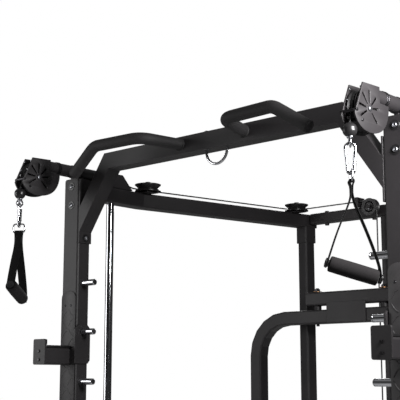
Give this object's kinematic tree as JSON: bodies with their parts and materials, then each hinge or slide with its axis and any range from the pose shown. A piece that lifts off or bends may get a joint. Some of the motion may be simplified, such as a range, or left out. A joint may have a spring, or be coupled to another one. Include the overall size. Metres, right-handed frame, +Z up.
{
  "type": "functional trainer",
  "caption": "Free-standing rack with swivelling high cable pulleys, hanging handles, pull-up bars, bar catches, a guided bar and a load carriage.",
  "frame": {"origin": "centre of the footprint, on the floor", "axes": "+Z up, +X to the right seen from the front, +Y from the user's side to the back"},
  "size_m": [1.96, 1.38, 2.13],
  "materials": {
    "powder_coat": "fine textured black powder coat",
    "grip_sleeve": "matte textured grip coat on steel tube",
    "chrome": "polished",
    "tread_rubber": "moulded matte",
    "black_steel": "blackened, satin",
    "moulded_plastic": "moulded nylon, semi-gloss",
    "cable_cover": "smooth black cover over steel rope",
    "webbing": "woven nylon",
    "foam": "matte foam rubber"
  },
  "bodies": {
    "rack": {"floor_rail_left": "powder_coat", "floor_rail_right": "powder_coat", "rear_floor_beam": "powder_coat", "front_upright_left": "powder_coat", "front_upright_right": "powder_coat", "rear_upright_left": "powder_coat", "rear_upright_right": "powder_coat", "side_beam_left": "powder_coat", "side_beam_right": "powder_coat", "rear_top_beam": "powder_coat", "crossbar": "powder_coat", "pullup_handle_left": "grip_sleeve", "pullup_handle_right": "grip_sleeve", "anchor_ring": "chrome", "tread_strip_left": "tread_rubber", "tread_strip_right": "tread_rubber", "peg_row_left": "chrome", "peg_row_right": "chrome", "front_bolts_left": "black_steel", "front_bolts_right": "black_steel", "brace_bolt_left": "black_steel", "brace_bolt_right": "black_steel", "j_hook_left": "powder_coat", "j_hook_right": "powder_coat", "pulley_arm_left": "powder_coat", "pulley_arm_right": "powder_coat", "cable_left": "cable_cover", "cable_right": "cable_cover", "rear_arch": "powder_coat", "arch_top_beam": "powder_coat", "weight_post_left": "powder_coat", "weight_post_right": "powder_coat", "guide_rod_left": "chrome", "guide_rod_right": "chrome"},
    "swivel_left": {"pulley_bracket_left": "powder_coat", "bracket_axle_left": "black_steel", "ball_stop_left": "moulded_plastic"},
    "bracket_wheel_left": {"bracket_pulley_left": "moulded_plastic"},
    "hook_left": {"carabiner_left": "chrome"},
    "link_left": {"handle_ring_left": "chrome"},
    "strap_left": {"handle_strap_left": "webbing"},
    "grip_left": {"handle_grip_left": "foam"},
    "kink_wheel_left": {"kink_pulley_left": "moulded_plastic"},
    "corner_wheel_left": {"corner_pulley_left": "moulded_plastic"},
    "centre_wheel_left": {"centre_pulley_left": "moulded_plastic"},
    "swivel_right": {"pulley_bracket_right": "powder_coat", "bracket_axle_right": "black_steel", "ball_stop_right": "moulded_plastic"},
    "bracket_wheel_right": {"bracket_pulley_right": "moulded_plastic"},
    "hook_right": {"carabiner_right": "chrome"},
    "link_right": {"handle_ring_right": "chrome"},
    "strap_right": {"handle_strap_right": "webbing"},
    "grip_right": {"handle_grip_right": "foam"},
    "kink_wheel_right": {"kink_pulley_right": "moulded_plastic"},
    "corner_wheel_right": {"corner_pulley_right": "moulded_plastic"},
    "centre_wheel_right": {"centre_pulley_right": "moulded_plastic"},
    "weights": {"weight_carriage": "powder_coat"},
    "bar_slides": {"bar_sleeve_left": "black_steel", "bar_sleeve_right": "black_steel"},
    "bar": {"sliding_bar": "chrome"}
  },
  "joints": [
    {"name": "bracket_swivel_left", "type": "hinge", "parent": "rack", "child": "swivel_left", "pos_m": [-0.588, -0.45, 2.084], "axis": [0, 1, 0], "range_deg": [-70, 70]},
    {"name": "bracket_wheel_spin_left", "type": "hinge", "parent": "swivel_left", "child": "bracket_wheel_left", "pos_m": [-0.588, -0.536, 2.042], "axis": [1, 0, 0], "continuous": true},
    {"name": "carabiner_swing_left", "type": "hinge", "parent": "swivel_left", "child": "hook_left", "pos_m": [-0.588, -0.59, 1.9555], "axis": [-0.5446, 0.8387, 0], "range_deg": [-25, 25]},
    {"name": "ring_swing_left", "type": "hinge", "parent": "hook_left", "child": "link_left", "pos_m": [-0.588, -0.59, 1.8933], "axis": [-0.8387, -0.5446, 0], "range_deg": [-25, 25]},
    {"name": "strap_swing_left", "type": "hinge", "parent": "link_left", "child": "strap_left", "pos_m": [-0.588, -0.59, 1.8678], "axis": [-0.8387, -0.5446, 0], "range_deg": [-25, 25]},
    {"name": "grip_spin_left", "type": "hinge", "parent": "strap_left", "child": "grip_left", "pos_m": [-0.588, -0.59, 1.69], "axis": [-0.5208, 0.802, -0.2924], "continuous": true},
    {"name": "kink_wheel_spin_left", "type": "hinge", "parent": "rack", "child": "kink_wheel_left", "pos_m": [-0.55, -0.085, 2.069], "axis": [0, 0, 1], "continuous": true},
    {"name": "corner_wheel_spin_left", "type": "hinge", "parent": "rack", "child": "corner_wheel_left", "pos_m": [-0.415, 0.57, 2.069], "axis": [0, 0, 1], "continuous": true},
    {"name": "centre_wheel_spin_left", "type": "hinge", "parent": "rack", "child": "centre_wheel_left", "pos_m": [-0.115, 0.608, 2.044], "axis": [0, 1, 0], "continuous": true},
    {"name": "bracket_swivel_right", "type": "hinge", "parent": "rack", "child": "swivel_right", "pos_m": [0.588, -0.45, 2.084], "axis": [0, 1, 0], "range_deg": [-70, 70]},
    {"name": "bracket_wheel_spin_right", "type": "hinge", "parent": "swivel_right", "child": "bracket_wheel_right", "pos_m": [0.588, -0.536, 2.042], "axis": [1, 0, 0], "continuous": true},
    {"name": "carabiner_swing_right", "type": "hinge", "parent": "swivel_right", "child": "hook_right", "pos_m": [0.588, -0.59, 1.9555], "axis": [0.7431, 0.6691, 0], "range_deg": [-25, 25]},
    {"name": "ring_swing_right", "type": "hinge", "parent": "hook_right", "child": "link_right", "pos_m": [0.588, -0.59, 1.8933], "axis": [-0.6691, 0.7431, 0], "range_deg": [-25, 25]},
    {"name": "strap_swing_right", "type": "hinge", "parent": "link_right", "child": "strap_right", "pos_m": [0.588, -0.59, 1.8678], "axis": [-0.6691, 0.7431, 0], "range_deg": [-25, 25]},
    {"name": "grip_spin_right", "type": "hinge", "parent": "strap_right", "child": "grip_right", "pos_m": [0.588, -0.59, 1.67], "axis": [0.7107, 0.6399, -0.2924], "continuous": true},
    {"name": "kink_wheel_spin_right", "type": "hinge", "parent": "rack", "child": "kink_wheel_right", "pos_m": [0.55, -0.085, 2.069], "axis": [0, 0, 1], "continuous": true},
    {"name": "corner_wheel_spin_right", "type": "hinge", "parent": "rack", "child": "corner_wheel_right", "pos_m": [0.415, 0.57, 2.069], "axis": [0, 0, 1], "continuous": true},
    {"name": "centre_wheel_spin_right", "type": "hinge", "parent": "rack", "child": "centre_wheel_right", "pos_m": [0.115, 0.608, 2.044], "axis": [0, 1, 0], "continuous": true},
    {"name": "weight_lift", "type": "slide", "parent": "rack", "child": "weights", "axis": [0, 0, 1], "range_m": [0, 1.2]},
    {"name": "bar_lift", "type": "slide", "parent": "rack", "child": "bar_slides", "axis": [0, 0, 1], "range_m": [0, 1.5]},
    {"name": "bar_turn", "type": "hinge", "parent": "bar_slides", "child": "bar", "pos_m": [0, -0.282, 0.34], "axis": [1, 0, 0], "continuous": true}
  ]
}
